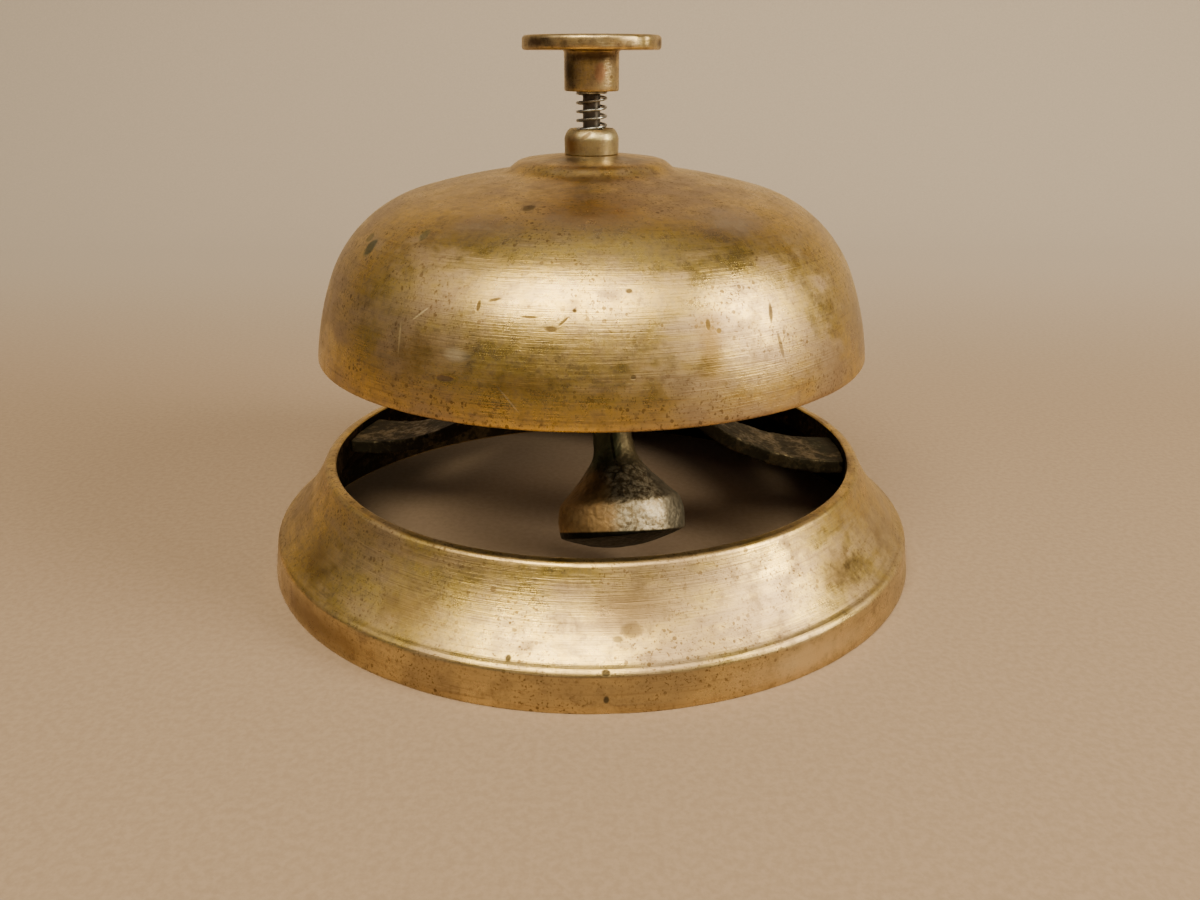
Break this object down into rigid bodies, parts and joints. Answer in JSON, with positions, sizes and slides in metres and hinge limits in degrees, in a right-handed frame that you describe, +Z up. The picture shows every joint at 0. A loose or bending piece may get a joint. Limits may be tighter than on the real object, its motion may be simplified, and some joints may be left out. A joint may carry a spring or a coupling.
{
  "type": "service bell",
  "caption": "Round brass counter bell: a bell on a pillar over an open flared base, a sprung push button on top and a pivoted clapper inside.",
  "frame": {"origin": "centre of the foot's bottom face, on the table", "axes": "+Z up along the bell's axis, -Y towards the front where the clapper hangs, +X to the right seen from the front"},
  "size_m": [0.125, 0.125, 0.0948],
  "materials": {
    "aged_brass": "turned, worn and tarnished",
    "bell_brass": "turned, worn, tarnished and pitted",
    "cast_brass": "rough cast, dark with age",
    "plain_brass": "turned",
    "pale_brass": "turned, pale",
    "button_brass": "turned, dull and spotted",
    "fibre": "pressed red fibre",
    "dark_steel": "dull, dark with age",
    "spring_steel": "drawn wire",
    "clapper_metal": "rough cast with a worn face"
  },
  "bodies": {
    "stand": {"base_ring": "aged_brass", "bridge": "cast_brass", "pillar": "plain_brass", "pillar_lock_nut": "plain_brass", "bell_seat_washer": "fibre", "bell": "bell_brass", "collar_nut": "pale_brass", "return_spring": "spring_steel", "pivot_pin": "dark_steel", "pivot_washer": "dark_steel"},
    "plunger": {"plunger_rod": "dark_steel", "stop_washer": "dark_steel", "stop_pin": "dark_steel", "push_button": "button_brass"},
    "striker": {"clapper": "clapper_metal"}
  },
  "joints": [
    {"name": "clapper_swing", "type": "hinge", "parent": "stand", "child": "striker", "pos_m": [0.0015, -0.00581, 0.0462], "axis": [-0.9681, -0.2504, 0], "range_deg": [0, 44.2]},
    {"name": "plunger_press", "type": "slide", "parent": "stand", "child": "plunger", "axis": [0, 0, -1], "range_m": [0, 0.00406], "stiffness_N_per_m": 300, "springref_m": -0.004, "deforming": ["return_spring"]}
  ],
  "couplings": [
    {"joint": "clapper_swing", "follows": "plunger_press", "rad_per_m": 190}
  ]
}
